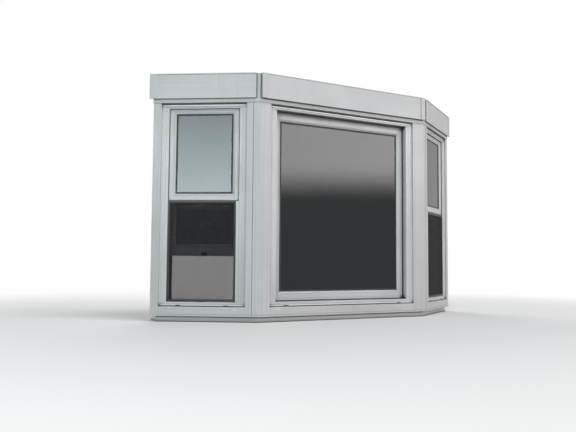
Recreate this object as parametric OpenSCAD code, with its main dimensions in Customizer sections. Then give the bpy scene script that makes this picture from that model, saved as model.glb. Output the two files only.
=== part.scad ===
// Three-facet bay window with a picture window between two double-hung windows.
// Heights are written above the low edge of the outside trim. The origin lies
// on the back face of the head ledger, where it bears on the house wall.
// +X is to the right seen from outside, +Y points into the house, +Z is up.

/* [Bay] */
// Width of the front facet, corner to corner
center_w = 1188; // [1000:2:1400]
// Width of each angled facet, corner to wall
flanker_w = 612; // [540:2:700]
// Angle between the front facet and each angled facet
bay_angle = 34; // [28:1:45]
// Depth of the house wall that the boards run through
wall_depth = 116; // [90:2:180]
// Distance from the outer edge of the casing to the edge of the wall opening
wall_lip_w = 45; // [40:1:60]

/* [Heights] */
// Thickness of the seat board under the windows
seat_t = 32; // [19:1:45]
// Height of the trim and blocking under the window frames
sill_h = 53; // [40:1:80]
// Height of the three window frames
unit_h = 1151; // [1000:2:1300]
// Thickness of the head board over the window frames
head_t = 24; // [19:1:40]
// Height of the frieze over the head board
frieze_h = 143; // [100:1:200]

/* [Outside trim] */
// Thickness of the metal-wrapped trim boards
trim_t = 12; // [10:1:16]
// Face of the right corner trim on the front facet
corner_face_right = 92; // [80:1:130]
// Face of the left corner trim on the front facet
corner_face_left = 72; // [50:1:110]
// Face of each corner trim on its angled facet
corner_face_side = 75; // [50:1:90]
// Face of each casing beside the house wall
casing_w = 47; // [35:1:50]
// How far the seat board stays behind the trim face
seat_inset = 20; // [16:1:22]
// How far the head trim stands out from the trim under it
head_trim_proud = 2; // [1:0.5:6]
// Height of the nosing along the low edge of the seat board
seat_edge_h = 6; // [3:1:12]
// How far the nosing stands out from the edge of the seat board
seat_edge_t = 3; // [1:0.5:5]
// Height of the hemmed strip along the low edge of the trim
hem_h = 9; // [6:1:20]
// Thickness of the hemmed strip
hem_t = 3; // [1:0.5:4]
// How far the front frieze board stands out from the trim face
frieze_proud = 18; // [14:1:30]
// How far the side frieze boards stand out from the trim face
side_frieze_proud = 12; // [8:1:13]
// Recessed channel between the front frieze and each side frieze
frieze_channel = 22; // [12:1:40]
// Height of the folded edge along the top of the frieze boards
frieze_cap_h = 5; // [3:1:12]
// How far the folded edge stands out from the frieze boards
frieze_cap_t = 2; // [1:0.5:4]
// Width of the strips on the ends of the frieze boards
end_strip_w = 32; // [20:1:45]
// Thickness of the strips on the ends of the frieze boards
end_strip_t = 3; // [1:0.5:5]

/* [Window frames] */
// Distance of the frame face behind the trim face
frame_set = 13; // [13:1:20]
// Depth of the window frames from face to back
frame_d = 83; // [83:1:110]
// Face of the mitred ring round the picture window, and of its head and sill
picture_face = 28; // [24:1:36]
// Jamb face of the picture window frame
picture_jamb = 45; // [38:1:60]
// Jamb face of the double-hung frames
jamb_face = 42; // [36:1:60]
// Head face of the double-hung frames
head_face = 30; // [26:1:50]
// Sill face of the double-hung frames, and of the mitred ring round them
sill_face = 26; // [20:1:30]
// Width of the raised lip round the outside of each frame
lip_w = 8; // [5:1:12]
// Height of the raised lip and of the sash edges
lip_t = 3; // [1:0.5:4]
// Height of the shadow gap over the lip on the head of each frame
head_gap = 9; // [4:0.5:10]
// Height of the shadow gap under the lip on the sill of each frame
sill_gap = 4; // [2:0.5:6]
// Depth of both shadow gaps behind the frame face
gap_d = 9; // [4:1:12]
// Thickness of the fin that holds the screen in its track
fin_t = 2; // [1:0.5:3]
// Thickness of the rib between the tracks of the two sashes
rib_t = 3; // [2:0.5:5]
// Width of the stop round the inside of each frame
stop_w = 12; // [8:1:20]
// Depth of the chamfers on the frames
chamfer = 3; // [1:0.5:5]
// Length of each drain slot in the frame sills
slot_len = 28; // [15:1:40]
// Height of each drain slot
slot_h = 4; // [3:0.5:6]
// Distance of each drain slot's middle from the end of the frame
slot_in = 110; // [60:5:180]

/* [Sashes] */
// Stile face of the fixed sash in the picture window
picture_stile = 44; // [36:1:60]
// Rail face of the fixed sash in the picture window
picture_rail = 55; // [36:1:70]
// Distance of the picture sash behind its frame face
picture_sash_set = 40; // [30:1:44]
// Thickness of the picture sash
picture_sash_t = 35; // [30:1:36]
// Stile face of the double-hung sashes
stile = 39; // [32:1:55]
// Top rail of the upper sashes
top_rail = 29; // [28:1:50]
// Meeting rail of the upper sashes
meeting_rail = 42; // [28:1:50]
// Top rail of the lower sashes
check_rail = 60; // [30:1:70]
// Bottom rail of the lower sashes
bottom_rail = 68; // [50:1:90]
// Thickness of each double-hung sash
sash_t = 28; // [24:1:28]
// Height of the top of the meeting rail above the bottom of the frame
meeting_height = 635; // [560:1:700]
// How far a closed lower sash stays below the top of the meeting rail
check_drop = 16; // [2:1:18]
// Width of the sloped glazing beads
bead_w = 11; // [7:1:16]
// How far the left lower sash is raised
left_lift = 257; // [0:1:450]
// How far the right lower sash is raised
right_lift = 0; // [0:1:450]
// Thickness of the sealed glass units
glass_t = 18; // [14:1:20]
// Thickness of each pane in a glass unit
pane_t = 3; // [3:0.5:5]
// Distance of the glass behind the face of the double-hung sashes
glass_set = 5; // [4:0.5:6]
// Distance of the glass behind the face of the picture sash
picture_glass_set = 7; // [5:0.5:10]
// Depth of the groove that holds each glass unit
glass_bite = 12; // [8:1:15]
// How far the spacer bars show inside the sight line
spacer_show = 4; // [0.5:0.5:6]

/* [Insect screens] */
// Face of the screen frames
screen_face = 13; // [9:1:18]
// Thickness of the screen frames
screen_t = 8; // [6:1:8]
// Width of the rail beside each screen, on the side of the bay's corner
screen_rail_w = 15; // [8:1:18]
// Thickness of the woven wire mesh
mesh_t = 1; // [0.6:0.1:1.5]
// Width of the groove that the mesh is pressed into
spline_w = 4; // [3:0.5:5]

/* [Framing] */
// Thickness of the header boards, ledger and joists
lumber_t = 38; // [32:1:42]
// Number of joists
joist_count = 4; // [2:1:6]
// Distance of the outer joists from the ends of the front header
joist_end = 40; // [25:5:120]

/* [Hardware] */
// Width of the sash locks
lock_w = 60; // [45:1:75]
// Height of the sash locks
lock_h = 14; // [10:1:20]
// Width of the sash lifts and screen pull tabs
tab_w = 32; // [20:1:45]
// Height of the sash lifts
lift_h = 14; // [10:1:20]
// How far the sash lifts stand out
lift_out = 10; // [7:1:14]
// Height of the screen pull tabs
tab_h = 8; // [6:1:11]
// How far the screen pull tabs stand out
tab_out = 4; // [3:0.5:6]

/* [Hidden] */
$fn = 48;

unit_z = sill_h;
head_z = sill_h + unit_h;
frieze_z = head_z + head_t;
top_z = frieze_z + frieze_h;
datum_z = frieze_z + frieze_h / 2;
projection = flanker_w * sin(bay_angle);
wall_half = center_w / 2 + flanker_w * cos(bay_angle);
opening_half = wall_half - wall_lip_w;
meeting_top = sill_h + meeting_height;
frame_back = frame_set + frame_d;
unit_left = -center_w / 2 + corner_face_left;
unit_right = center_w / 2 - corner_face_right;
unit_near = corner_face_side;
unit_far = flanker_w - casing_w;
header_face = trim_t / 3;
header_back = header_face + lumber_t;
track_lip = 2;
liner_set = frame_set + track_lip;
screen_set = liner_set;
upper_set = screen_set + screen_t + fin_t;
lower_set = upper_set + sash_t + rib_t;
stop_set = lower_set + sash_t;
fin_w = 3;
rib_w = 4;
groove_w = 3;
groove_d = 2;
sash_bottom = unit_z + sill_face;
sash_top = head_z - head_face;
meeting_low = meeting_top - meeting_rail;
frieze_half = center_w / 2 - frieze_proud * tan(bay_angle / 2);
screen_gap = 1;
screen_top = meeting_low - screen_gap;
lower_sash_h = meeting_top - check_drop - sash_bottom;
round_in = 1;
bead_proud = 1.5;
bead_edge = 1;
spacer_w = glass_bite + spacer_show;
hem_r = hem_t / 2;
plate_t = 2;
lock_hub = 0.7;
cut = 1;

// Plan points of the bay at a given distance behind the trim face.
function corner_at(inset) =
    [center_w / 2 - inset * tan(bay_angle / 2), inset - projection];
function wall_at(inset) = [wall_half - inset / sin(bay_angle), 0];
function mirrored(p) = [-p[0], p[1]];
// Plan point on the right angled facet, s along it from the corner.
function flank_at(s, inset) = [
    center_w / 2 + s * cos(bay_angle) - inset * sin(bay_angle),
    s * sin(bay_angle) + inset * cos(bay_angle) - projection];

// Extrudes a plan outline between two heights above the trim's low edge.
module rise(low, high, outline) {
    translate([0, 0, low - datum_z])
        linear_extrude(high - low)
            polygon(outline);
}

// Moves children from facet coordinates (along, behind, up) to the bay.
module on_center() {
    translate([0, -projection, -datum_z]) children();
}
module on_right() {
    translate([center_w / 2, -projection, -datum_z])
        rotate([0, 0, bay_angle]) children();
}
module on_left() {
    mirror([1, 0, 0]) on_right() children();
}

// A box between two corners, in facet coordinates.
module box(low, high) {
    translate(low) cube(high - low);
}

// A rectangular ring that faces outwards, from depth front to depth back.
module ring(x, z, front, back, side, top, bottom) {
    difference() {
        box([x[0], front, z[0]], [x[1], back, z[1]]);
        box([x[0] + side, front - cut, z[0] + bottom],
            [x[1] - side, back + cut, z[1] - top]);
    }
}

// The space inside a frame whose sides share one profile and meet in mitres.
// x and z bound the opening at its narrowest. The profile's points are
// [depth, how much wider the opening is on each side at that depth].
module mitred_space(x, z, profile) {
    last = len(profile) - 1;
    wider = max([for (p = profile) p[1]]) + cut;
    intersection() {
        translate([0, 0, z[0] - wider]) linear_extrude(z[1] - z[0] + 2 * wider)
            polygon([for (p = profile) [x[0] - p[1], p[0]],
                for (i = [last : -1 : 0]) [x[1] + profile[i][1], profile[i][0]]]);
        translate([x[0] - wider, 0, 0]) rotate([90, 0, 90])
            linear_extrude(x[1] - x[0] + 2 * wider)
                polygon([for (p = profile) [p[0], z[0] - p[1]],
                    for (i = [last : -1 : 0])
                        [profile[i][0], z[1] + profile[i][1]]]);
    }
}

// The extrusion round the outside of a window frame: a lip, a flat face and
// a chamfer. Shadow gaps part the lip from the trim over the head and under
// the sill, where the drain slots open.
module frame_extrusion(x, z, width, back) {
    face = width - lip_w;
    gap_z = [z[0] + sill_gap, z[1] - head_gap];
    difference() {
        for (low = [gap_z[0], gap_z[1] - lip_w])
            box([x[0], frame_set - lip_t, low],
                [x[1], frame_set + cut, low + lip_w]);
        drain_slots(x, gap_z[0]);
    }
    difference() {
        box([x[0], frame_set - lip_t, z[0]], [x[1], back, z[1]]);
        mitred_space([x[0] + width, x[1] - width],
            [z[0] + width, z[1] - width], [
            [frame_set - lip_t - cut, face + lip_t],
            [frame_set - lip_t, face + lip_t], [frame_set, face],
            [frame_set, chamfer], [frame_set + chamfer, 0],
            [back + cut, 0]]);
        for (gap = [[z[0] - cut, gap_z[0]], [gap_z[1], z[1] + cut]])
            box([x[0] - cut, frame_set - lip_t - cut, gap[0]],
                [x[1] + cut, frame_set + gap_d, gap[1]]);
        drain_slots(x, gap_z[0]);
    }
}
module drain_slots(x, low) {
    for (middle = [x[0] + slot_in, x[1] - slot_in])
        box([middle - slot_len / 2, frame_set - lip_t - cut, low - cut],
            [middle + slot_len / 2, frame_set + gap_d, low + slot_h]);
}

// The stop round the inside of a window frame, chamfered into the room.
module inside_stop(x, z, front, back) {
    difference() {
        box([x[0] - cut, front, z[0] - cut], [x[1] + cut, back, z[1] + cut]);
        mitred_space([x[0] + stop_w, x[1] - stop_w],
            [z[0] + stop_w, z[1] - stop_w], [
            [front - cut, 0], [back - chamfer, 0], [back, chamfer],
            [back + cut, chamfer]]);
    }
}

// A sash: stiles and rails with a raised outer edge, sloped glazing beads
// and the groove that holds the glass.
module sash(x, z, front, thick, side, top, bottom, glass_front) {
    open_x = [x[0] + side, x[1] - side];
    open_z = [z[0] + bottom, z[1] - top];
    difference() {
        union() {
            box([x[0], front, z[0]], [x[1], front + thick, z[1]]);
            box([open_x[0] - bead_w, front - bead_proud, open_z[0] - bead_w],
                [open_x[1] + bead_w, front + cut, open_z[1] + bead_w]);
            raised_edge([x[0] + rib_w, x[1] - rib_w],
                [z[0] + rib_w, z[1] - rib_w], front);
        }
        mitred_space(open_x, open_z, [
            [front - bead_proud - cut, bead_w - bead_proud],
            [front - bead_proud, bead_w - bead_proud],
            [glass_front - bead_edge, 0], [front + thick + cut, 0]]);
        box([open_x[0] - glass_bite, glass_front, open_z[0] - glass_bite],
            [open_x[1] + glass_bite, glass_front + glass_t,
            open_z[1] + glass_bite]);
    }
}
module raised_edge(x, z, front) {
    difference() {
        box([x[0], front - lip_t, z[0]], [x[1], front + cut, z[1]]);
        mitred_space([x[0] + lip_w, x[1] - lip_w],
            [z[0] + lip_w, z[1] - lip_w], [
            [front - lip_t - cut, lip_t], [front - lip_t, lip_t],
            [front, 0], [front + 2 * cut, 0]]);
    }
}

// The sealed glass unit that fills a sash's groove: two panes, and the bar
// that holds them apart round the edge.
module panes(x, z, side, top, bottom, glass_front) {
    for (front = [glass_front, glass_front + glass_t - pane_t])
        box([x[0] + side - glass_bite, front, z[0] + bottom - glass_bite],
            [x[1] - side + glass_bite, front + pane_t,
            z[1] - top + glass_bite]);
}
module spacer(x, z, side, top, bottom, glass_front) {
    ring([x[0] + side - glass_bite, x[1] - side + glass_bite],
        [z[0] + bottom - glass_bite, z[1] - top + glass_bite],
        glass_front + pane_t, glass_front + glass_t - pane_t,
        spacer_w, spacer_w, spacer_w);
}

// Boards that reach from the bay through the house wall.
module through_board(inset, low, high) {
    rise(low, high, [
        mirrored(wall_at(inset)), mirrored(corner_at(inset)),
        corner_at(inset), wall_at(inset),
        [opening_half, 0], [opening_half, wall_depth],
        [-opening_half, wall_depth], [-opening_half, 0]]);
}
module seat_board() {
    edge = seat_inset - seat_edge_t;
    color("gainsboro") {
        through_board(seat_inset, -seat_t, 0);
        rise(-seat_t, seat_edge_h - seat_t, [
            mirrored(wall_at(edge)), mirrored(corner_at(edge)),
            corner_at(edge), wall_at(edge)]);
    }
}
module head_board() {
    color("gainsboro") through_board(trim_t, head_z, frieze_z);
}

// Jamb between an angled window and the wall, with a lip that bears on it.
module side_jamb() {
    inner = flank_at(unit_far, frame_back);
    rise(0, head_z, [
        wall_at(trim_t), flank_at(unit_far, trim_t), inner,
        [inner[0], wall_depth], [opening_half, wall_depth],
        [opening_half, 0]]);
}
module left_side_jamb() {
    color("gainsboro") mirror([1, 0, 0]) side_jamb();
}
module right_side_jamb() {
    color("gainsboro") side_jamb();
}

// Post that joins two windows at a corner of the bay.
module mullion_post(face) {
    rise(0, head_z, [
        [center_w / 2 - face, trim_t - projection], corner_at(trim_t),
        flank_at(unit_near, trim_t), flank_at(unit_near, frame_back),
        corner_at(frame_back),
        [center_w / 2 - face, frame_back - projection]]);
}
module left_mullion_post() {
    color("gainsboro") mirror([1, 0, 0]) mullion_post(corner_face_left);
}
module right_mullion_post() {
    color("gainsboro") mullion_post(corner_face_right);
}

// Blocking that the window frames stand on.
module sub_sills() {
    color("gainsboro") {
        on_center() box([unit_left, trim_t, 0], [unit_right, frame_back, unit_z]);
        on_left() box([unit_near, trim_t, 0], [unit_far, frame_back, unit_z]);
        on_right() box([unit_near, trim_t, 0], [unit_far, frame_back, unit_z]);
    }
}

// Casing that covers the joint between an angled window and the wall.
module wall_casing() {
    rise(0, head_z, [
        flank_at(unit_far, 0), wall_at(0), wall_at(trim_t),
        flank_at(unit_far, trim_t)]);
}
module left_wall_casing() {
    color("whitesmoke") mirror([1, 0, 0]) wall_casing();
}
module right_wall_casing() {
    color("whitesmoke") wall_casing();
}

// Bent trim over a corner, with a shallow groove down its side face.
module corner_trim(face) {
    difference() {
        rise(0, head_z, [
            [center_w / 2 - face, -projection], corner_at(0),
            flank_at(unit_near, 0), flank_at(unit_near, trim_t),
            corner_at(trim_t), [center_w / 2 - face, trim_t - projection]]);
        on_right()
            box([(unit_near - groove_w) / 2, -cut, hem_h],
                [(unit_near + groove_w) / 2, groove_d, head_z + cut]);
    }
}
module left_corner_trim() {
    color("whitesmoke") mirror([1, 0, 0]) corner_trim(corner_face_left);
}
module right_corner_trim() {
    color("whitesmoke") corner_trim(corner_face_right);
}

// Trim boards under the window frames, between the corner trims and casings.
module sill_trims() {
    color("whitesmoke") {
        on_center() box([unit_left, 0, 0], [unit_right, trim_t, unit_z]);
        on_left() box([unit_near, 0, 0], [unit_far, trim_t, unit_z]);
        on_right() box([unit_near, 0, 0], [unit_far, trim_t, unit_z]);
    }
}

// Hemmed metal strip along the low edge of all the trim. Its rounded
// profile runs along each facet and meets its neighbour in a mitre.
module hem_slab() {
    reach = center_w + flanker_w;
    translate([-reach, 0, 0]) rotate([90, 0, 90]) linear_extrude(2 * reach) {
        translate([-hem_t, hem_r]) square([reach, hem_h - 2 * hem_r]);
        translate([hem_r - hem_t, 0]) square([reach, hem_h]);
        for (up = [hem_r, hem_h - hem_r])
            translate([hem_r - hem_t, up]) circle(hem_r);
    }
}
module sill_hem() {
    reach = 2 * (center_w + flanker_w);
    end = flank_at(flanker_w + cut, 0);
    color("whitesmoke") difference() {
        intersection() {
            on_center() hem_slab();
            on_left() hem_slab();
            on_right() hem_slab();
        }
        rise(-cut, hem_h + cut,
            [mirrored(end), mirrored(corner_at(0)), corner_at(0), end]);
        rise(-cut, hem_h + cut,
            [[-reach, 0], [reach, 0], [reach, reach], [-reach, reach]]);
    }
}

// A board along one facet, mitred at the corner and cut flat at the wall.
module front_board(front, back, low, high) {
    rise(low, high, [
        mirrored(corner_at(front)), corner_at(front),
        corner_at(back), mirrored(corner_at(back))]);
}
module side_board(front, back, low, high) {
    rise(low, high, [
        corner_at(front), wall_at(front), wall_at(back), corner_at(back)]);
}
module center_head_trim() {
    color("whitesmoke")
        front_board(-head_trim_proud, trim_t, head_z, frieze_z);
}
module side_head_trims() {
    color("whitesmoke")
        for (side = [0, 1])
            mirror([side, 0, 0])
                side_board(-head_trim_proud, trim_t, head_z, frieze_z);
}
module center_header() {
    color("burlywood") front_board(header_face, header_back, frieze_z, top_z);
}
module side_headers() {
    color("burlywood")
        for (side = [0, 1])
            mirror([side, 0, 0])
                side_board(header_face, header_back, frieze_z, top_z);
}

// Wrapped frieze boards over the head trim. The sheet of each side board
// runs on over the recessed channel and butts against the front board.
module center_frieze() {
    cap_half = frieze_half - end_strip_w;
    color("whitesmoke") on_center() {
        box([-frieze_half, -frieze_proud, frieze_z],
            [frieze_half, header_face, top_z]);
        box([-cap_half, -frieze_proud - frieze_cap_t, top_z - frieze_cap_h],
            [cap_half, cut - frieze_proud, top_z]);
    }
}
module side_frieze() {
    face = -side_frieze_proud;
    cap_end = end_strip_w * [cos(bay_angle), sin(bay_angle)];
    rise(top_z - frieze_cap_h, top_z, [
        flank_at(frieze_channel, face - frieze_cap_t),
        wall_at(face - frieze_cap_t) - cap_end,
        wall_at(face) - cap_end, wall_at(face + cut) - cap_end,
        flank_at(frieze_channel, face + cut)]);
    rise(frieze_z, top_z, [
        [frieze_half, -projection], corner_at(0), flank_at(frieze_channel, 0),
        flank_at(frieze_channel, -side_frieze_proud),
        wall_at(-side_frieze_proud), wall_at(header_face),
        corner_at(header_face), [frieze_half, header_face - projection]]);
}
module left_frieze() {
    color("whitesmoke") mirror([1, 0, 0]) side_frieze();
}
module right_frieze() {
    color("whitesmoke") side_frieze();
}

// Narrow strips folded over the ends of the frieze boards.
module frieze_end_strips() {
    half = frieze_half;
    face = -side_frieze_proud;
    color("whitesmoke") {
        for (side = [0, 1])
            mirror([side, 0, 0]) {
                on_center()
                    box([half - end_strip_w, -frieze_proud - end_strip_t,
                        frieze_z], [half, -frieze_proud, top_z]);
                rise(frieze_z, top_z, [
                    wall_at(face - end_strip_t), wall_at(face),
                    wall_at(face) - end_strip_w * [cos(bay_angle),
                    sin(bay_angle)],
                    wall_at(face - end_strip_t)
                    - end_strip_w * [cos(bay_angle), sin(bay_angle)]]);
            }
    }
}

// Ledger against the wall and joists from it to the front header.
module head_ledger() {
    inner = wall_at(header_back);
    front_x = inner[0] - lumber_t / tan(bay_angle);
    color("burlywood") rise(frieze_z, top_z, [
        mirrored(inner), inner, [front_x, -lumber_t], [-front_x, -lumber_t]]);
}
module head_joists() {
    reach = corner_at(header_back)[0] - joist_end;
    color("burlywood")
        for (i = [0 : joist_count - 1])
            translate([(2 * i / (joist_count - 1) - 1) * reach - lumber_t / 2,
                header_back - projection, frieze_z - datum_z])
                cube([lumber_t, projection - header_back - lumber_t,
                    frieze_h]);
}

// Picture window: frame, fixed sash and glass.
picture_x = [unit_left, unit_right];
picture_z = [unit_z, head_z];
picture_in_x = [unit_left + picture_jamb, unit_right - picture_jamb];
picture_in_z = [unit_z + picture_face, head_z - picture_face];
picture_sash_front = frame_set + picture_sash_set;
picture_sash_back = picture_sash_front + picture_sash_t;
picture_glass_front = picture_sash_front + picture_glass_set;
module picture_liner(x, inward) {
    translate([x, 0, picture_in_z[0] - cut]) mirror([(1 - inward) / 2, 0, 0])
        linear_extrude(picture_in_z[1] - picture_in_z[0] + 2 * cut)
            polygon([
                [picture_face - cut, liner_set],
                [picture_jamb - round_in, liner_set],
                [picture_jamb, liner_set + round_in],
                [picture_jamb, frame_back], [picture_face - cut, frame_back]]);
}
module center_frame() {
    color("white") on_center() {
        frame_extrusion(picture_x, picture_z, picture_face, frame_back);
        picture_liner(unit_left, 1);
        picture_liner(unit_right, -1);
        inside_stop(picture_in_x, picture_in_z, picture_sash_back, frame_back);
    }
}
module center_sash() {
    color("white") on_center()
        sash(picture_in_x, picture_in_z, picture_sash_front, picture_sash_t,
            picture_stile, picture_rail, picture_rail, picture_glass_front);
}
module center_glass() {
    color("lightsteelblue", 0.4) on_center()
        panes(picture_in_x, picture_in_z, picture_stile, picture_rail,
            picture_rail, picture_glass_front);
}

// Double-hung window frame: the mitred extrusion, a liner up each jamb with
// the tracks for screen and sashes, a head filler and the inside stop.
side_x = [unit_near, unit_far];
side_in_x = [unit_near + jamb_face, unit_far - jamb_face];
screen_x = [side_in_x[0] + screen_rail_w, side_in_x[1]];
side_z = [unit_z, head_z];
side_in_z = [sash_bottom, sash_top];
module jamb_liner() {
    edge = jamb_face;
    translate([0, 0, sash_bottom - cut])
        linear_extrude(head_z - sill_face - sash_bottom + 2 * cut)
            polygon([
                [sill_face - cut, liner_set], [edge - round_in, liner_set],
                [edge, liner_set + round_in], [edge, upper_set - fin_t],
                [edge + fin_w, upper_set - fin_t], [edge + fin_w, upper_set],
                [edge, upper_set], [edge, lower_set - rib_t],
                [edge + rib_w, lower_set - rib_t], [edge + rib_w, lower_set],
                [edge, lower_set], [edge, frame_back],
                [sill_face - cut, frame_back]]);
}
module side_frame() {
    frame_extrusion(side_x, side_z, sill_face, frame_back);
    translate([side_x[0], 0, 0]) jamb_liner();
    translate([side_x[1], 0, 0]) mirror([1, 0, 0]) jamb_liner();
    box([side_in_x[0] - cut, liner_set, sash_top],
        [side_in_x[1] + cut, frame_back, head_z - sill_face + cut]);
    box([side_in_x[0] - cut, frame_set, sash_bottom - cut],
        [screen_x[0], upper_set, screen_top]);
    inside_stop(side_in_x, side_in_z, stop_set, frame_back);
}
upper_z = [meeting_low, sash_top];
upper_glass_front = upper_set + glass_set;
lower_glass_front = lower_set + glass_set;
function lower_z(lift) =
    [sash_bottom + lift, sash_bottom + lift + lower_sash_h];
module upper_sash() {
    sash(side_in_x, upper_z, upper_set, sash_t,
        stile, top_rail, meeting_rail, upper_glass_front);
}
module upper_glass() {
    panes(side_in_x, upper_z, stile, top_rail, meeting_rail,
        upper_glass_front);
}
module lower_sash(lift) {
    sash(side_in_x, lower_z(lift), lower_set, sash_t,
        stile, check_rail, bottom_rail, lower_glass_front);
}
module lower_glass(lift) {
    panes(side_in_x, lower_z(lift), stile, check_rail, bottom_rail,
        lower_glass_front);
}
module side_spacers(lift) {
    spacer(side_in_x, upper_z, stile, top_rail, meeting_rail,
        upper_glass_front);
    spacer(side_in_x, lower_z(lift), stile, check_rail, bottom_rail,
        lower_glass_front);
}
module glass_spacers() {
    color("black") {
        on_center()
            spacer(picture_in_x, picture_in_z, picture_stile, picture_rail,
                picture_rail, picture_glass_front);
        on_left() side_spacers(left_lift);
        on_right() side_spacers(right_lift);
    }
}
module left_frame() {
    color("white") on_left() side_frame();
}
module left_upper_sash() {
    color("white") on_left() upper_sash();
}
module left_upper_glass() {
    color("lightsteelblue", 0.4) on_left() upper_glass();
}
module left_lower_sash() {
    color("white") on_left() lower_sash(left_lift);
}
module left_lower_glass() {
    color("lightsteelblue", 0.4) on_left() lower_glass(left_lift);
}
module right_frame() {
    color("white") on_right() side_frame();
}
module right_upper_sash() {
    color("white") on_right() upper_sash();
}
module right_upper_glass() {
    color("lightsteelblue", 0.4) on_right() upper_glass();
}
module right_lower_sash() {
    color("white") on_right() lower_sash(right_lift);
}
module right_lower_glass() {
    color("lightsteelblue", 0.4) on_right() lower_glass(right_lift);
}

// Half screens over the lower sashes. Four mitred bars have a spline groove
// round the outside, and the mesh reaches through the wall of the groove.
screen_z = [sash_bottom, screen_top];
mesh_x = [screen_x[0] + screen_face, screen_x[1] - screen_face];
mesh_z = [screen_z[0] + screen_face, screen_z[1] - screen_face];
module screen_frame() {
    wall = (screen_face - spline_w) / 3;
    back = screen_set + screen_t;
    difference() {
        box([screen_x[0], screen_set, screen_z[0]],
            [screen_x[1], back, screen_z[1]]);
        mitred_space(mesh_x, mesh_z, [
            [screen_set - cut, wall / 2], [screen_set, wall / 2],
            [screen_set + wall / 2, 0], [back + cut, 0]]);
        difference() {
            box([mesh_x[0] - wall - spline_w, screen_set - cut,
                mesh_z[0] - wall - spline_w],
                [mesh_x[1] + wall + spline_w, screen_set + screen_t / 4,
                mesh_z[1] + wall + spline_w]);
            box([mesh_x[0] - wall, screen_set - 2 * cut, mesh_z[0] - wall],
                [mesh_x[1] + wall, screen_set + screen_t, mesh_z[1] + wall]);
        }
    }
}
module screen_mesh() {
    middle = screen_set + screen_t / 2;
    box([mesh_x[0], middle - mesh_t / 2, mesh_z[0]],
        [mesh_x[1], middle + mesh_t / 2, mesh_z[1]]);
}
module left_screen_frame() {
    color("dimgray") on_left() screen_frame();
}
module left_screen_mesh() {
    color("darkslategray", 0.5) on_left() screen_mesh();
}
module right_screen_frame() {
    color("dimgray") on_right() screen_frame();
}
module right_screen_mesh() {
    color("darkslategray", 0.5) on_right() screen_mesh();
}

// Cam locks on the lower sashes: a base with round ends, a hub and a lever.
module sash_lock(lift) {
    middle = (side_in_x[0] + side_in_x[1]) / 2;
    base_r = lock_w / 6;
    lever_r = lock_w / 12;
    hub_r = base_r * lock_hub;
    translate([middle, lower_set + sash_t / 2, lower_z(lift)[1]]) {
        linear_extrude(lock_h / 2) {
            square([lock_w - 2 * base_r, 2 * base_r], center = true);
            for (end = [-1, 1])
                translate([end * (lock_w / 2 - base_r), 0]) circle(base_r);
        }
        cylinder(h = lock_h * 2 / 3, r = hub_r);
        linear_extrude(lock_h) {
            translate([0, -lever_r]) square([lock_w / 2, 2 * lever_r]);
            translate([lock_w / 2, 0]) circle(lever_r);
            circle(lever_r);
        }
    }
}
module sash_locks() {
    color("silver") {
        on_left() sash_lock(left_lift);
        on_right() sash_lock(right_lift);
    }
}

// Finger lifts on the outside of the bottom rails, and screen pull tabs: a
// plate with a tapered lip along its top.
module finger_pull(z, back, out, h) {
    middle = (side_in_x[0] + side_in_x[1]) / 2;
    translate([middle - tab_w / 2, back, z]) rotate([90, 0, 90])
        linear_extrude(tab_w)
            polygon([[0, 0], [-plate_t, 0], [-plate_t, h - 2 * plate_t],
                [-out, h - plate_t], [-out, h], [0, h]]);
}
module sash_lift(lift) {
    finger_pull(lower_z(lift)[0] + rib_w, lower_set - lip_t, lift_out, lift_h);
}
module sash_lifts() {
    color("black") {
        on_left() sash_lift(left_lift);
        on_right() sash_lift(right_lift);
    }
}
module screen_tab() {
    finger_pull(screen_z[0] + plate_t, screen_set, tab_out, tab_h);
}
module screen_tabs() {
    color("black") {
        on_left() screen_tab();
        on_right() screen_tab();
    }
}

seat_board();
head_board();
left_side_jamb();
right_side_jamb();
left_mullion_post();
right_mullion_post();
sub_sills();
left_wall_casing();
right_wall_casing();
left_corner_trim();
right_corner_trim();
sill_trims();
sill_hem();
center_head_trim();
side_head_trims();
left_frieze();
center_frieze();
right_frieze();
frieze_end_strips();
center_header();
side_headers();
head_ledger();
head_joists();
center_frame();
center_sash();
center_glass();
glass_spacers();
left_frame();
left_upper_sash();
left_upper_glass();
left_lower_sash();
left_lower_glass();
left_screen_frame();
left_screen_mesh();
right_frame();
right_upper_sash();
right_upper_glass();
right_lower_sash();
right_lower_glass();
right_screen_frame();
right_screen_mesh();
sash_locks();
sash_lifts();
screen_tabs();
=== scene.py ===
import math
import bmesh
import bpy
from mathutils import Matrix, Vector, noise


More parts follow.
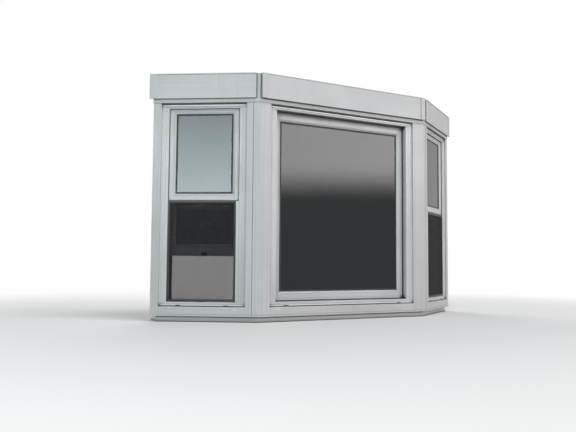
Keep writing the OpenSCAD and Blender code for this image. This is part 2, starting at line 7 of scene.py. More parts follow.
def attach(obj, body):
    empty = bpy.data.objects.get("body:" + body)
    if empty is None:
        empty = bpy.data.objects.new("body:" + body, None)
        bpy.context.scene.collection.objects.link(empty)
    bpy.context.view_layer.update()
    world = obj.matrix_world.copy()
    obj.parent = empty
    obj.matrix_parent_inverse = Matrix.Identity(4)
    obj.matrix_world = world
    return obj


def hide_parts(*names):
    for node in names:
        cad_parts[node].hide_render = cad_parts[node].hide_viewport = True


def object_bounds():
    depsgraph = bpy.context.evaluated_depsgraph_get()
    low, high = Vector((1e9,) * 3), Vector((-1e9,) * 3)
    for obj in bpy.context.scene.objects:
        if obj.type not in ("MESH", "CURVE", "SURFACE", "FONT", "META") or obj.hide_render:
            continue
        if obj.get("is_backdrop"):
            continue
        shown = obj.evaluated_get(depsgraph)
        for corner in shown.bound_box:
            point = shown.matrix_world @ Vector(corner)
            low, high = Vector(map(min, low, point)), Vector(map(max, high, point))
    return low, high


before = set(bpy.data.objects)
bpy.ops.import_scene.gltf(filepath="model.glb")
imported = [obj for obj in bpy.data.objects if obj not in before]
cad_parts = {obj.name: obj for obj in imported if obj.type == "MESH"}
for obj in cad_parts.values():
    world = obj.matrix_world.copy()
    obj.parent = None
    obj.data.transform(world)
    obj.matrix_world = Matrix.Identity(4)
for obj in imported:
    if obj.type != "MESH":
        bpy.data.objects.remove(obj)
cad_low, cad_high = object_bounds()

# Camera. It stands low and to the left of the window, turned and tilted as in
# the photograph, and its lens takes in the same angle.
scene = bpy.context.scene
scene.view_settings.view_transform = "Standard"
camera_at = Vector((-2.3096, -3.7376, -1.0037))
yaw = math.radians(29.23)
pitch = math.radians(3.99)
roll = math.radians(0.42)
look = Vector((math.sin(yaw) * math.cos(pitch),
               math.cos(yaw) * math.cos(pitch), math.sin(pitch)))
level = Vector((math.cos(yaw), -math.sin(yaw), 0))
upright = level.cross(look)
to_right = level * math.cos(roll) + upright * math.sin(roll)
to_top = upright * math.cos(roll) - level * math.sin(roll)
camera_data = bpy.data.cameras.new("camera")
camera_data.sensor_width = 36
camera_data.lens = 42.74
camera = bpy.data.objects.new("camera", camera_data)
scene.collection.objects.link(camera)
camera.matrix_world = (Matrix.Translation(camera_at)
                       @ Matrix((to_right, to_top, -look)).transposed().to_4x4())
scene.camera = camera

# Floor and background. A plain pale sheet lies under the window and keeps its
# shadow. The background is white where it is seen directly, in a reflection
# or through glass, and the floor fades into it far from the window.
FLOOR_HALF = 40
FLOOR_COLOR = (0.86, 0.86, 0.86)
WHITE_FROM = 1.6
WHITE_TO = 4.5
AMBIENT_COLOR = (0.96, 0.98, 1.0)
AMBIENT_LIGHT = 0.30


def seen_rays(tree):
    """1 for a ray from the camera, a reflection or glass, 0 for others."""
    rays = tree.nodes.new("ShaderNodeLightPath")
    seen = rays.outputs["Is Camera Ray"]
    for kind in ("Is Glossy Ray", "Is Transmission Ray"):
        either = tree.nodes.new("ShaderNodeMath")
        either.operation = "MAXIMUM"
        tree.links.new(seen, either.inputs[0])
        tree.links.new(rays.outputs[kind], either.inputs[1])
        seen = either.outputs["Value"]
    return seen


floor_mesh = bpy.data.meshes.new("floor")
shape = bmesh.new()
bmesh.ops.create_grid(shape, x_segments=1, y_segments=1, size=FLOOR_HALF,
                      matrix=Matrix.Translation((0, 0, cad_low.z)))
shape.to_mesh(floor_mesh)
shape.free()
floor = bpy.data.objects.new("floor", floor_mesh)
scene.collection.objects.link(floor)
floor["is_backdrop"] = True

floor_paint = bpy.data.materials.new("studio_floor")
floor_paint.use_nodes = True
tree = floor_paint.node_tree
paint = tree.nodes["Principled BSDF"]
paint.inputs["Base Color"].default_value = (*FLOOR_COLOR, 1)
paint.inputs["Roughness"].default_value = 0.9
paint.inputs["Specular IOR Level"].default_value = 0.1
place = tree.nodes.new("ShaderNodeTexCoord")
far = tree.nodes.new("ShaderNodeVectorMath")
far.operation = "LENGTH"
tree.links.new(place.outputs["Object"], far.inputs[0])
fade = tree.nodes.new("ShaderNodeMapRange")
fade.interpolation_type = "SMOOTHSTEP"
fade.inputs["From Min"].default_value = WHITE_FROM
fade.inputs["From Max"].default_value = WHITE_TO
tree.links.new(far.outputs["Value"], fade.inputs["Value"])
amount = tree.nodes.new("ShaderNodeMath")
amount.operation = "MULTIPLY"
tree.links.new(seen_rays(tree), amount.inputs[0])
tree.links.new(fade.outputs["Result"], amount.inputs[1])
white = tree.nodes.new("ShaderNodeEmission")
blend = tree.nodes.new("ShaderNodeMixShader")
tree.links.new(amount.outputs["Value"], blend.inputs["Fac"])
tree.links.new(paint.outputs["BSDF"], blend.inputs[1])
tree.links.new(white.outputs["Emission"], blend.inputs[2])
tree.links.new(blend.outputs["Shader"], tree.nodes["Material Output"].inputs["Surface"])
floor_mesh.materials.append(floor_paint)

world = bpy.data.worlds.new("studio")
scene.world = world
world.use_nodes = True
tree = world.node_tree
tree.nodes.clear()
dim = tree.nodes.new("ShaderNodeBackground")
dim.inputs["Color"].default_value = (*AMBIENT_COLOR, 1)
dim.inputs["Strength"].default_value = AMBIENT_LIGHT
bright = tree.nodes.new("ShaderNodeBackground")
bright.inputs["Color"].default_value = (1, 1, 1, 1)
bright.inputs["Strength"].default_value = 1.0
blend = tree.nodes.new("ShaderNodeMixShader")
tree.links.new(seen_rays(tree), blend.inputs["Fac"])
tree.links.new(dim.outputs["Background"], blend.inputs[1])
tree.links.new(bright.outputs["Background"], blend.inputs[2])
surroundings = tree.nodes.new("ShaderNodeOutputWorld")
tree.links.new(blend.outputs["Shader"], surroundings.inputs["Surface"])


# Lamps. Three large soft lamps light the outer side as open air does, and one
# behind lights the inner side. Each fades towards its lower edge, so that its
# reflection in the glass has no hard border.
def softbox(name, at, aim, width, height, power, color, fade=0.42, crown=1.0):
    """fade is the share of its height over which the lamp comes up, and crown
    is how bright its top stays."""
    data = bpy.data.lights.new(name, "AREA")
    data.shape = "RECTANGLE"
    data.size = width
    data.size_y = height
    data.energy = power
    data.color = color
    data.use_nodes = True
    glow = data.node_tree
    across = glow.nodes.new("ShaderNodeNewGeometry")
    apart = glow.nodes.new("ShaderNodeSeparateXYZ")
    glow.links.new(across.outputs["Parametric"], apart.inputs["Vector"])
    soft = glow.nodes.new("ShaderNodeMapRange")
    soft.interpolation_type = "SMOOTHSTEP"
    soft.inputs["From Min"].default_value = 0.0
    soft.inputs["From Max"].default_value = fade
    glow.links.new(apart.outputs["Y"], soft.inputs["Value"])
    falling = glow.nodes.new("ShaderNodeMapRange")
    falling.inputs["To Min"].default_value = 1.0
    falling.inputs["To Max"].default_value = crown
    glow.links.new(apart.outputs["Y"], falling.inputs["Value"])
    strength = glow.nodes.new("ShaderNodeMath")
    strength.operation = "MULTIPLY"
    glow.links.new(soft.outputs["Result"], strength.inputs[0])
    glow.links.new(falling.outputs["Result"], strength.inputs[1])
    glow.links.new(strength.outputs["Value"], glow.nodes["Emission"].inputs["Strength"])
    lamp = bpy.data.objects.new(name, data)
    scene.collection.objects.link(lamp)
    aimed = (Vector(aim) - Vector(at)).to_track_quat("-Z", "Y")
    lamp.matrix_world = Matrix.Translation(at) @ aimed.to_matrix().to_4x4()
    return lamp


softbox("soft_left", at=(-4.4, -3.7, 0.42), aim=(-0.8, -0.2, -0.5), width=1.1, height=1.5,
        power=112, color=(0.79, 0.94, 0.98), fade=0.08, crown=0.34)
softbox("soft_right", at=(3.4, -5.2, 0.62), aim=(0.2, -0.2, -0.4), width=2.6, height=1.4,
        power=100, color=(1.0, 0.98, 0.945))
softbox("soft_top", at=(0.1, -2.6, 3.7), aim=(0, -0.1, -0.7), width=3.0, height=1.8,
        power=140, color=(0.98, 0.985, 1.0))
back_lamp = softbox("soft_back", at=(0.9, 3.4, 0.9), aim=(0, 0, -0.6), width=2.6, height=1.8,
                    power=80, color=(1.0, 0.985, 0.96))
back_lamp.visible_camera = False
back_lamp.visible_transmission = False

# Headers, ledger and joists. Sawn softwood boards 38 mm thick stand on edge
# round the head of the bay, nailed to the ledger at its back and to each other
# at mitred corners, with the grain along each board.
BAY_ANGLE = math.radians(34)
LUMBER_EDGE = 0.0018
WELD_GAP = 0.00001
SHARP = math.radians(25)


def new_material(name, **sockets):
    material = bpy.data.materials.new(name)
    material.use_nodes = True
    shader = material.node_tree.nodes["Principled BSDF"]
    for socket, value in sockets.items():
        shader.inputs[socket.replace("_", " ")].default_value = value
    return material


def add_node(material, kind, inputs=None, **settings):
    """inputs are sockets to link or values to set, by name or number."""
    node = material.node_tree.nodes.new("ShaderNode" + kind)
    for key, value in settings.items():
        setattr(node, key, value)
    for key, value in (inputs or {}).items():
        if isinstance(value, bpy.types.NodeSocket):
            material.node_tree.links.new(value, node.inputs[key])
        else:
            node.inputs[key].default_value = value
    return node


def link_shader(material, socket, value):
    shader = material.node_tree.nodes["Principled BSDF"]
    material.node_tree.links.new(value, shader.inputs[socket])


def object_place(material, stretch=(1, 1, 1), turn=0.0):
    place = add_node(material, "TexCoord").outputs["Object"]
    turned = add_node(material, "Mapping", {"Vector": place, "Rotation": (0, 0, turn)})
    return add_node(material, "Mapping", {
        "Vector": turned.outputs["Vector"], "Scale": stretch}).outputs["Vector"]


def cloud(material, vector, scale, detail=3.0, roughness=0.5, distortion=0.0):
    return add_node(material, "TexNoise", {
        "Vector": vector, "Scale": scale, "Detail": detail, "Roughness": roughness,
        "Distortion": distortion}).outputs["Fac"]


def ramp(material, value, low, high, out_low=0.0, out_high=1.0):
    return add_node(material, "MapRange", {
        "Value": value, "From Min": low, "From Max": high,
        "To Min": out_low, "To Max": out_high},
        interpolation_type="SMOOTHSTEP").outputs["Result"]


def tint(material, factor, first, second):
    """Mixes two colours, each given as a colour or as a socket."""
    ends = [color if isinstance(color, bpy.types.NodeSocket) else (*color, 1)
            for color in (first, second)]
    return add_node(material, "Mix", {"Factor": factor, 6: ends[0], 7: ends[1]},
                    data_type="RGBA").outputs[2]


def math_node(material, operation, first, second=0.0):
    return add_node(material, "Math", {0: first, 1: second}, operation=operation).outputs[0]


def bump(material, height, distance, strength, under=None):
    inputs = {"Height": height, "Distance": distance, "Strength": strength}
    if under is not None:
        inputs["Normal"] = under
    return add_node(material, "Bump", inputs).outputs["Normal"]


def dress(node, material, edge=0.0):
    """Gives a CAD node its finish, and softens its sharp edges."""
    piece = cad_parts[node]
    if not piece.material_slots:
        piece.data.materials.append(material)
    for material_slot in piece.material_slots:
        material_slot.material = material
    if edge:
        weld = piece.modifiers.new("weld", "WELD")
        weld.merge_threshold = WELD_GAP
        soft = piece.modifiers.new("soft", "BEVEL")
        soft.width = edge
        soft.segments = 2
        soft.limit_method = "ANGLE"
        soft.angle_limit = SHARP
        soft.miter_outer = "MITER_ARC"


def softwood(name, turn, seed):
    """turn lays the grain along the board, and seed picks its growth."""
    material = new_material(name, Roughness=0.75)
    along = object_place(material, (0.9, 9.0, 9.0), turn)
    shifted = add_node(material, "Mapping", {
        "Vector": along, "Location": (seed, seed * 0.7, seed * 1.3)}).outputs["Vector"]
    growth = cloud(material, shifted, 1.6, 2.0, 0.45, 0.6)
    rings = math_node(material, "SINE", math_node(material, "MULTIPLY", growth, 95.0))
    color = tint(material, ramp(material, rings, -0.2, 1.0), (0.62, 0.45, 0.27), (0.47, 0.29, 0.145))
    fibre = cloud(material, object_place(material, (6, 420, 420), turn), 1.0, 3.0, 0.6)
    color = tint(material, ramp(material, fibre, 0.35, 0.75, 0.0, 0.35), color, (0.36, 0.22, 0.11))
    knots = add_node(material, "TexVoronoi", {
        "Vector": object_place(material, (3.1, 8.5, 8.5), turn), "Scale": 1.0,
        "Randomness": 1.0}).outputs["Distance"]
    color = tint(material, ramp(material, knots, 0.16, 0.07, 0.0, 0.85), color, (0.16, 0.075, 0.03))
    grey = cloud(material, object_place(material, (2, 5, 5), turn), 2.3, 4.0)
    color = tint(material, ramp(material, grey, 0.45, 0.8, 0.0, 0.4), color, (0.40, 0.36, 0.30))
    link_shader(material, "Base Color", color)
    saw_marks = cloud(material, object_place(material, (700, 20, 20), turn), 1.0, 1.0)
    rough = bump(material, fibre, 0.0006, 0.7)
    rough = bump(material, saw_marks, 0.0003, 0.5, rough)
    link_shader(material, "Normal", rough)
    return material


dress("center_header", softwood("softwood_front", 0, 1.7), LUMBER_EDGE)
dress("head_ledger", softwood("softwood_ledger", 0, 5.2), LUMBER_EDGE)
dress("head_joists", softwood("softwood_joists", math.radians(90), 8.6), LUMBER_EDGE)
dress("side_headers", softwood("softwood_sides", -BAY_ANGLE, 3.4), LUMBER_EDGE)


# Seat and head boards, jambs, corner posts and sill blocking. Boards under
# several coats of rolled and brushed white paint, screwed together, which
# shows a fine stipple, brush lines and stains.
def facing_part(material, axis):
    """How far a surface faces along one axis, from -1 to 1."""
    normal = add_node(material, "NewGeometry").outputs["Normal"]
    return add_node(material, "SeparateXYZ", {"Vector": normal}).outputs[axis]


def painted_shade(material, color, reach, dark):
    """Paints shade into a colour: darker in joints and recesses, and on undersides."""
    # Painted shade: the colour darkens where ambient occlusion is deep and on faces that point down.
    depth = add_node(material, "AmbientOcclusion", {"Distance": reach}, samples=16).outputs["AO"]
    deep = ramp(material, depth, 0.92, 0.46)
    under = ramp(material, facing_part(material, "Z"), -0.4, -0.9, 0.0, 0.75)
    return tint(material, math_node(material, "MAXIMUM", deep, under), color, dark)


def painted_board(name, stretch, outside_dirt_and_shade=0.0):
    """stretch lays the brush lines along the board, and the last argument is how
    far its outward-facing edges are darkened, partly as outdoor dirt and partly
    as painted shade."""
    material = new_material(name, Specular_IOR_Level=0.4)
    wide = cloud(material, object_place(material), 2.2, 4.0)
    color = tint(material, ramp(material, wide, 0.3, 0.75), (0.71, 0.705, 0.68), (0.655, 0.645, 0.615))
    stain = cloud(material, object_place(material, (6, 6, 2)), 2.0, 6.0, 0.65)
    color = tint(material, ramp(material, stain, 0.58, 0.80, 0.0, 0.45), color, (0.50, 0.475, 0.42))
    if outside_dirt_and_shade:
        # Outward-facing faces are darkened, partly as outdoor dirt and partly as painted shade under
        # the trim; painted shade also falls in the joints.
        dirt_and_shade = ramp(material, facing_part(material, "Y"), -0.5, -0.8, 0.0, outside_dirt_and_shade)
        color = tint(material, dirt_and_shade, color, (0.40, 0.385, 0.355))
        color = painted_shade(material, color, 0.020, (0.045, 0.040, 0.034))
    link_shader(material, "Base Color", color)
    link_shader(material, "Roughness", ramp(material, wide, 0.3, 0.7, 0.36, 0.52))
    brush_lines = cloud(material, object_place(material, stretch), 1.0, 2.0)
    stipple = cloud(material, object_place(material), 420.0, 2.0, 0.6)
    coat = bump(material, brush_lines, 0.0004, 0.35)
    coat = bump(material, stipple, 0.00025, 0.3, coat)
    link_shader(material, "Normal", coat)
    return material


LEVEL_BRUSH = (9, 260, 260)
UPRIGHT_BRUSH = (260, 260, 9)
BOARD_EDGE = 0.0015
POST_EDGE = 0.0012
BLOCK_EDGE = 0.001
flat_board = painted_board("painted_flat_board", LEVEL_BRUSH)
upright_board = painted_board("painted_upright_board", UPRIGHT_BRUSH)
dress("seat_board", painted_board("painted_seat_board", LEVEL_BRUSH, 0.55), BOARD_EDGE)
dress("head_board", flat_board, BOARD_EDGE)
for board in ("left_side_jamb", "right_side_jamb", "left_mullion_post", "right_mullion_post"):
    dress(board, upright_board, POST_EDGE)
dress("sub_sills", flat_board, BLOCK_EDGE)


# Outside trim. White enamelled sheet metal is bent over boards on a brake and
# nailed: casings, corner trims, sill and head trims, friezes and their end
# strips. The sheet is slightly wavy, dusty, and streaked where water runs.
def wrapped_sheet(name, stretch, faint):
    """stretch lays the fine lines along the board, and faint is their depth."""
    material = new_material(name, Specular_IOR_Level=0.45)
    wide = cloud(material, object_place(material), 1.7, 3.0)
    color = tint(material, ramp(material, wide, 0.3, 0.72), (0.575, 0.577, 0.583), (0.49, 0.492, 0.497))
    streaks = cloud(material, object_place(material, (55, 55, 1.6)), 1.0, 4.0, 0.6)
    patches = cloud(material, object_place(material, (3, 3, 2.2)), 1.6, 3.0)
    wet = math_node(material, "MULTIPLY", ramp(material, streaks, 0.48, 0.72, 0.0, 0.34),
                    ramp(material, patches, 0.42, 0.66))
    color = tint(material, wet, color, (0.40, 0.38, 0.35))
    dust = cloud(material, object_place(material), 38.0, 5.0, 0.7)
    color = tint(material, ramp(material, dust, 0.55, 0.85, 0.0, 0.30), color, (0.45, 0.43, 0.40))
    lines = cloud(material, object_place(material, stretch), 1.0, 2.0)
    color = tint(material, ramp(material, lines, 0.42, 0.66, 0.0, faint), color, (0.42, 0.425, 0.435))
    # Painted shade: darker in the joints and recesses of the trim and on its undersides.
    color = painted_shade(material, color, 0.018, (0.040, 0.037, 0.033))
    link_shader(material, "Base Color", color)
    link_shader(material, "Roughness", ramp(material, dust, 0.3, 0.8, 0.32, 0.52))
    wave = cloud(material, object_place(material, (5, 5, 3)), 1.2, 1.0)
    orange_peel = cloud(material, object_place(material), 650.0, 1.0)
    sheet = bump(material, wave, 0.02, 0.22)
    sheet = bump(material, orange_peel, 0.0001, 0.25, sheet)
    link_shader(material, "Normal", sheet)
    return material


TRIM_EDGE = 0.0011
STRIP_EDGE = 0.0009
upright_sheet = wrapped_sheet("upright_trim_sheet", (150, 150, 0.7), 0.36)
level_sheet = wrapped_sheet("level_trim_sheet", (0.8, 0.8, 90), 0.16)
for board in ("left_wall_casing", "right_wall_casing", "left_corner_trim", "right_corner_trim"):
    dress(board, upright_sheet, TRIM_EDGE)
dress("frieze_end_strips", upright_sheet, STRIP_EDGE)
for board in ("sill_trims", "center_head_trim", "side_head_trims", "left_frieze",
              "center_frieze", "right_frieze"):
    dress(board, level_sheet, TRIM_EDGE)
dress("sill_hem", level_sheet)

# Window frames and sashes. White vinyl extrusions are cut at 45 degrees and
# welded, with a faint seam across each corner and scuffs. Painted shade darkens
# the tracks, joints and recesses and the picture sash's head, and a painted
# highlight lightens the outer lips.
CENTER_HALF = 0.594
FLANKER_W = 0.612
PROJECTION = FLANKER_W * math.sin(BAY_ANGLE)
TRIM_LOW = -1.2995
FACETS = {"center": Matrix.Translation((0, -PROJECTION, TRIM_LOW))}
FACETS["right"] = (Matrix.Translation((CENTER_HALF, -PROJECTION, TRIM_LOW))
                   @ Matrix.Rotation(BAY_ANGLE, 4, "Z"))
FACETS["left"] = Matrix.Diagonal((-1, 1, 1, 1)) @ FACETS["right"]
FRAME_H = (0.053, 1.204)
PICTURE_U = (-0.522, 0.502)
PICTURE_SASH_U = (-0.477, 0.457)
PICTURE_SASH_H = (0.081, 1.176)
SIDE_U = (0.075, 0.565)
SASH_U = (0.117, 0.523)
UPPER_H = (0.646, 1.174)
LOWER_H = (0.079, 0.672)
PICTURE_FRAME_BARS = (0.028, 0.028, 0.028)
PICTURE_SASH_BARS = (0.044, 0.055, 0.055)
SIDE_FRAME_BARS = (0.026, 0.026, 0.026)
UPPER_BARS = (0.039, 0.042, 0.029)
LOWER_BARS = (0.039, 0.068, 0.060)
LIFTS = {"left": 0.257, "right": 0.0}
FRAME_EDGE = 0.0008
SASH_EDGE = 0.0007
LIP_D = 0.011
WEATHERED = ((0.59, 0.593, 0.60), (0.52, 0.522, 0.528))
# Painted light: the lower sashes behind the screens get a lighter white and a shorter reach of painted
# shade, standing in for light the screen holds back.
LOWER_SASH_PAINTED_LIGHT = ((0.82, 0.82, 0.81), (0.76, 0.76, 0.75))
LOWER_SASH_SHADE_REACH = 0.010
LIP_HIGHLIGHT = (0.80, 0.803, 0.81)
# Painted shadow under the picture sash's head: its colour, and where it starts and where it is full.
HEAD_SHADOW_COLOR = (0.17, 0.145, 0.115)
HEAD_SHADOW_FROM = 0.034
HEAD_SHADOW_FULL = 0.012


def facet_place(material, facet):
    """Object coordinates turned to a facet's own: u along it, d inwards from
    the face of its trim, and h up from the trim's low edge."""
    place = add_node(material, "TexCoord").outputs["Object"]
    square = FACETS["center" if facet == "center" else "right"].inverted()
    return add_node(material, "Mapping", {
        "Vector": place, "Scale": (-1 if facet == "left" else 1, 1, 1),
        "Rotation": square.to_euler(), "Location": square.translation}).outputs["Vector"]


def vinyl(name, facet, u, h, bars, whites=WEATHERED, reach=0.032, head_shadow=0.0):
    """u and h bound the welded frame, and bars are the widths of its sides,
    bottom and top. reach is how far painted shade spreads from the joints and
    recesses, and the last argument is how dark the painted shadow under the head is."""
    side, bottom, top = bars
    material = new_material(name, Specular_IOR_Level=0.5)
    apart = add_node(material, "SeparateXYZ", {"Vector": facet_place(material, facet)})
    along = apart.outputs["X"]
    deep = apart.outputs["Y"]
    up = apart.outputs["Z"]
    inward = math_node(material, "MINIMUM",
                       math_node(material, "SUBTRACT", along, u[0]),
                       math_node(material, "SUBTRACT", u[1], along))
    from_foot = math_node(material, "DIVIDE", math_node(material, "SUBTRACT", up, h[0]), bottom)
    from_head = math_node(material, "DIVIDE", math_node(material, "SUBTRACT", h[1], up), top)
    off = math_node(material, "SUBTRACT", math_node(material, "DIVIDE", inward, side),
                    math_node(material, "MINIMUM", from_foot, from_head))
    off = math_node(material, "MULTIPLY", math_node(material, "ABSOLUTE", off), side)
    seam = ramp(material, off, 0.0009, 0.0002)
    wide = cloud(material, object_place(material), 2.6, 3.0)
    color = tint(material, ramp(material, wide, 0.3, 0.72), *whites)
    grime = cloud(material, object_place(material, (9, 9, 5)), 2.4, 6.0, 0.7)
    color = tint(material, ramp(material, grime, 0.56, 0.8, 0.0, 0.35), color, (0.46, 0.445, 0.42))
    color = tint(material, math_node(material, "MULTIPLY", seam, 0.35), color, (0.30, 0.29, 0.28))
    # Painted shadow: the top of the sash darkens under the frame's head.
    if head_shadow:
        under_head = ramp(material, up, h[1] - HEAD_SHADOW_FROM, h[1] - HEAD_SHADOW_FULL, 0.0, head_shadow)
        color = tint(material, under_head, color, HEAD_SHADOW_COLOR)
    # Painted highlight: the outer lips, standing in front of LIP_D, are painted lighter.
    lip_highlight = ramp(material, deep, LIP_D + 0.0005, LIP_D - 0.0005)
    color = tint(material, lip_highlight, color, LIP_HIGHLIGHT)
    # Painted shade: darker in the tracks, joints and recesses, and on undersides.
    color = painted_shade(material, color, reach, (0.035, 0.032, 0.028))
    link_shader(material, "Base Color", color)
    link_shader(material, "Roughness", ramp(material, grime, 0.3, 0.75, 0.26, 0.46))
    drawn = cloud(material, object_place(material), 9.0, 2.0)
    surface = bump(material, drawn, 0.003, 0.12)
    surface = bump(material, math_node(material, "SUBTRACT", 1.0, seam), 0.0004, 0.6, surface)
    link_shader(material, "Normal", surface)
    return material


dress("center_frame", vinyl("vinyl_center_frame", "center", PICTURE_U, FRAME_H,
                            PICTURE_FRAME_BARS), FRAME_EDGE)
# The picture sash carries a painted shadow under its head.
dress("center_sash", vinyl("vinyl_center_sash", "center", PICTURE_SASH_U, PICTURE_SASH_H,
                           PICTURE_SASH_BARS, head_shadow=0.85), FRAME_EDGE)
for side, lift in LIFTS.items():
    lower_h = (LOWER_H[0] + lift, LOWER_H[1] + lift)
    dress(side + "_frame", vinyl("vinyl_" + side + "_frame", side, SIDE_U, FRAME_H,
                                 SIDE_FRAME_BARS), FRAME_EDGE)
    dress(side + "_upper_sash", vinyl("vinyl_" + side + "_upper", side, SASH_U, UPPER_H,
                                      UPPER_BARS), SASH_EDGE)
    # The lower sashes take the lighter white, as painted light, and less painted shade.
    dress(side + "_lower_sash", vinyl("vinyl_" + side + "_lower", side, SASH_U, lower_h,
                                      LOWER_BARS, LOWER_SASH_PAINTED_LIGHT, LOWER_SASH_SHADE_REACH), SASH_EDGE)

# Glass. Each sash holds two 3 mm panes, sealed together. Their dark tint is
# painted shade, standing in for the dark room seen through them. They carry a
# thin uneven film of dust, and are bowed a little by the sealed air.
glass = new_material("window_glass", Roughness=0.03, IOR=1.36, Transmission_Weight=1.0)
film = cloud(glass, object_place(glass, (5, 5, 2.5)), 2.0, 5.0, 0.65)
# The dark tint is painted shade; the film of dust varies it.
link_shader(glass, "Base Color", tint(
    glass, ramp(glass, film, 0.45, 0.8), (0.069, 0.084, 0.091), (0.083, 0.096, 0.100)))
bow = cloud(glass, object_place(glass), 3.2, 1.0)
link_shader(glass, "Normal", bump(glass, bow, 0.002, 0.25))
for pane in ("center_glass", "left_upper_glass", "left_lower_glass",
             "right_upper_glass", "right_lower_glass"):
    dress(pane, glass)


# Spacers and gaskets. A black foam spacer with sealant behind it holds each
# pair of panes apart, and a thin extruded rubber gasket, mitred at its corners,
# closes the joint between the outer pane and the glazing bead.
def small_part(name, color, dusty, roughness, grain, depth, metallic=0.0):
    """A moulded, extruded or cast small part: its grain, and dust on it."""
    material = new_material(name, Roughness=roughness, Metallic=metallic)
    dust = cloud(material, object_place(material), 70.0, 4.0, 0.6)
    link_shader(material, "Base Color", tint(
        material, ramp(material, dust, 0.42, 0.75), color, dusty))
    grains = cloud(material, object_place(material), grain, 2.0)
    link_shader(material, "Normal", bump(material, grains, depth, 0.4))
    return material


def flat_ring(shape, u, h, width, front, back):
    """A mitred ring, width wide inside the rectangle u by h."""
    at = Vector(((u[0] + u[1]) / 2, front, (h[0] + h[1]) / 2))
    made = bmesh.ops.create_grid(
        shape, x_segments=1, y_segments=1, size=0.5,
        matrix=Matrix.Translation(at) @ Matrix.Rotation(math.radians(90), 4, "X")
        @ Matrix.Diagonal((u[1] - u[0], h[1] - h[0], 1, 1)))
    inner = list({face for vertex in made["verts"] for face in vertex.link_faces})
    rim = bmesh.ops.inset_region(shape, faces=inner, thickness=width,
                                 use_boundary=True, use_even_offset=True)
    bmesh.ops.delete(shape, geom=inner, context="FACES")
    solid = bmesh.ops.extrude_face_region(shape, geom=rim["faces"])
    moved = [part for part in solid["geom"] if isinstance(part, bmesh.types.BMVert)]
    bmesh.ops.translate(shape, vec=(0, back - front, 0), verts=moved)


def finish_piece(shape, name, facet, material):
    """Turns a bmesh made in facet measures into a piece of the window."""
    bmesh.ops.transform(shape, matrix=FACETS[facet], verts=shape.verts)
    bmesh.ops.recalc_face_normals(shape, faces=shape.faces)
    mesh = bpy.data.meshes.new(name)
    shape.to_mesh(mesh)
    shape.free()
    mesh.materials.append(material)
    piece = bpy.data.objects.new(name, mesh)
    scene.collection.objects.link(piece)
    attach(piece, "root")
    return piece


dress("glass_spacers", small_part("spacer_foam", (0.020, 0.020, 0.021), (0.032, 0.031, 0.030),
                                  0.7, 260.0, 0.0003))
gasket_rubber = small_part("gasket_rubber", (0.019, 0.019, 0.020), (0.040, 0.038, 0.036),
                           0.6, 500.0, 0.0002)
# The gaskets are drawn 9.5 mm wide: past the real rubber, the black band is a painted shadow in the
# glazing pocket.
GASKET_AND_SHADE_W = 0.0095
GASKET_T = 0.0012
PICTURE_GASKET = ((-0.433, 0.413), (0.136, 1.121), 0.060)
UPPER_GASKET = ((0.156, 0.484), (0.688, 1.145), 0.030)
LOWER_GASKET = ((0.156, 0.484), (0.147, 0.612), 0.061)
gaskets = [("center", "center_gasket", 0.0, PICTURE_GASKET)]
for side, lift in LIFTS.items():
    gaskets.append((side, side + "_upper_gasket", 0.0, UPPER_GASKET))
    gaskets.append((side, side + "_lower_gasket", lift, LOWER_GASKET))
for facet, name, lift, (u, h, glass_front) in gaskets:
    shape = bmesh.new()
    flat_ring(shape, u, (h[0] + lift, h[1] + lift), GASKET_AND_SHADE_W, glass_front - GASKET_T, glass_front)
    finish_piece(shape, name, facet, gasket_rubber)

# Insect screens. Four bars of rolled dark aluminium are mitred over corner
# keys, and a rubber spline presses the woven wire mesh into the groove that
# runs round their face.
SCREEN_U = (0.132, 0.523)
SCREEN_H = (0.079, 0.645)
SCREEN_FACE = 0.013
MESH_U = (SCREEN_U[0] + SCREEN_FACE, SCREEN_U[1] - SCREEN_FACE)
MESH_H = (SCREEN_H[0] + SCREEN_FACE, SCREEN_H[1] - SCREEN_FACE)
MESH_D = 0.019
PITCH = 0.0010
WIRE_W = 0.00056
WIRE_T = 0.00010
SPLINE_OUT = 0.005
SPLINE_R = 0.0019
SPLINE_D = 0.0163
SPLINE_ROUND = 0.0009
LONG_EDGE = 0.1
SCREEN_EDGE = 0.0005

screen_metal = new_material("screen_bar_enamel")
rub = cloud(screen_metal, object_place(screen_metal, (40, 40, 12)), 1.0, 4.0)
link_shader(screen_metal, "Base Color", tint(
    screen_metal, ramp(screen_metal, rub, 0.5, 0.8, 0.0, 0.6),
    (0.032, 0.033, 0.036), (0.085, 0.083, 0.08)))
link_shader(screen_metal, "Roughness", ramp(screen_metal, rub, 0.3, 0.8, 0.3, 0.55))
wire_metal = new_material("screen_wire_enamel", Roughness=0.6, Specular_IOR_Level=0.2)
lint = cloud(wire_metal, object_place(wire_metal), 45.0, 4.0, 0.6)
link_shader(wire_metal, "Base Color", tint(
    wire_metal, ramp(wire_metal, lint, 0.45, 0.8), (0.009, 0.009, 0.010), (0.022, 0.021, 0.020)))


def add_wire(shape, middle, size):
    bmesh.ops.create_cube(shape, size=1, matrix=Matrix.Translation(middle)
                          @ Matrix.Diagonal((*size, 1)))


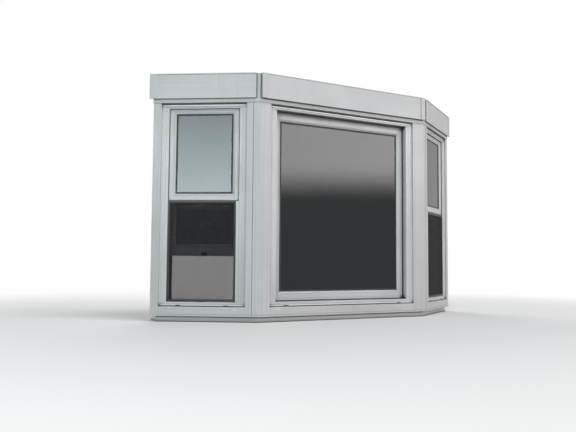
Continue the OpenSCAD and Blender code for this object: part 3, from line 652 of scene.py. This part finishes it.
for side in LIFTS:
    dress(side + "_screen_frame", screen_metal, SCREEN_EDGE)
    shape = bmesh.new()
    wide = MESH_U[1] - MESH_U[0]
    high = MESH_H[1] - MESH_H[0]
    for column in range(1, round(wide / PITCH)):
        add_wire(shape, (MESH_U[0] + column * PITCH, MESH_D - WIRE_T / 2, MESH_H[0] + high / 2),
                 (WIRE_W, WIRE_T, high))
    for row in range(1, round(high / PITCH)):
        add_wire(shape, (MESH_U[0] + wide / 2, MESH_D + WIRE_T / 2, MESH_H[0] + row * PITCH),
                 (wide, WIRE_T, WIRE_W))
    wires = finish_piece(shape, side + "_screen_wires", side, wire_metal)
    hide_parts(side + "_screen_mesh")
    shape = bmesh.new()
    reach = SPLINE_OUT + SPLINE_R
    flat_ring(shape, (MESH_U[0] - reach, MESH_U[1] + reach),
              (MESH_H[0] - reach, MESH_H[1] + reach),
              2 * SPLINE_R, SPLINE_D - SPLINE_R, SPLINE_D + SPLINE_R / 3)
    bmesh.ops.bevel(shape, geom=[edge for edge in shape.edges if edge.calc_length() > LONG_EDGE],
                    offset=SPLINE_ROUND, affect="EDGES", segments=2, profile=0.5, material=-1)
    finish_piece(shape, side + "_screen_spline", side, gasket_rubber)

# Hardware. A cast cam lock is screwed to each lower sash's top rail, and
# moulded black lifts and pull tabs to the lower sashes and the screens.
LOCK_EDGE = 0.0008
TAB_EDGE = 0.0006
lock_cast = small_part("lock_cast_metal", (0.62, 0.62, 0.61), (0.52, 0.51, 0.49),
                       0.32, 300.0, 0.00015, 0.6)
tab_plastic = small_part("tab_moulded_plastic", (0.017, 0.017, 0.018), (0.034, 0.033, 0.032),
                         0.42, 700.0, 0.0002)
dress("sash_locks", lock_cast, LOCK_EDGE)
dress("sash_lifts", tab_plastic, TAB_EDGE)
dress("screen_tabs", tab_plastic, TAB_EDGE)

# Sealant. Beads of white caulk fill the corners between the trim and the lips
# up both sides of each window frame. They are uneven, and some is smeared on
# the sill trim under the picture window and under the left window.
BEAD_D = 0.0094
BEAD_R = 0.0019
BEAD_H = (0.068, 1.184)
BEAD_WANDER = 0.22
BEAD_STEP = 0.02
LUMPS_PER_M = 23.0
TAPERED_END = 0.35
USUAL_WIDTH = 0.9
CENTER_SMEAR_R = 0.0028
LEFT_SMEAR_R = 0.0030

caulk = new_material("white_caulk", Roughness=0.5)
caulk_dirt = cloud(caulk, object_place(caulk), 60.0, 4.0)
link_shader(caulk, "Base Color", tint(
    caulk, ramp(caulk, caulk_dirt, 0.45, 0.8), (0.82, 0.82, 0.81), (0.50, 0.485, 0.46)))


def sealant(name, facet, lines, radius):
    """Each line is a start, an end and how much the bead's width wanders."""
    path = bpy.data.curves.new(name, "CURVE")
    path.dimensions = "3D"
    path.bevel_depth = radius
    path.bevel_resolution = 2
    path.use_fill_caps = True
    for start, end, wander in lines:
        start = Vector(start)
        end = Vector(end)
        count = round((end - start).length / BEAD_STEP * (1 + wander))
        line = path.splines.new("POLY")
        line.points.add(count)
        for step, point in enumerate(line.points):
            at = start.lerp(end, step / count)
            point.radius = USUAL_WIDTH + wander * noise.noise(at * LUMPS_PER_M)
            if step in (0, count):
                point.radius = TAPERED_END
            point.co = (*(FACETS[facet] @ at), 1)
    path.materials.append(caulk)
    bead = bpy.data.objects.new(name, path)
    scene.collection.objects.link(bead)
    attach(bead, "root")


for facet, frame_u in (("center", PICTURE_U), ("left", SIDE_U), ("right", SIDE_U)):
    sealant(facet + "_caulk", facet, [
        ((edge, BEAD_D, BEAD_H[0]), (edge, BEAD_D, BEAD_H[1]), BEAD_WANDER)
        for edge in frame_u], BEAD_R)
sealant("center_caulk_smears", "center", [
    ((-0.506, 0.0008, 0.0500), (-0.403, 0.0006, 0.0480), 1.0),
    ((-0.490, 0.0010, 0.0375), (-0.440, 0.0008, 0.0365), 0.8)], CENTER_SMEAR_R)
sealant("left_caulk_smears", "left", [
    ((0.512, 0.0008, 0.0465), (0.492, 0.0006, 0.0455), 0.8),
    ((0.200, 0.0008, 0.0475), (0.172, 0.0006, 0.0460), 0.8),
    ((0.142, 0.0010, 0.0370), (0.120, 0.0008, 0.0360), 0.8),
    ((0.097, 0.0008, 0.0460), (0.078, 0.0006, 0.0470), 0.8)], LEFT_SMEAR_R)

low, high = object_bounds()
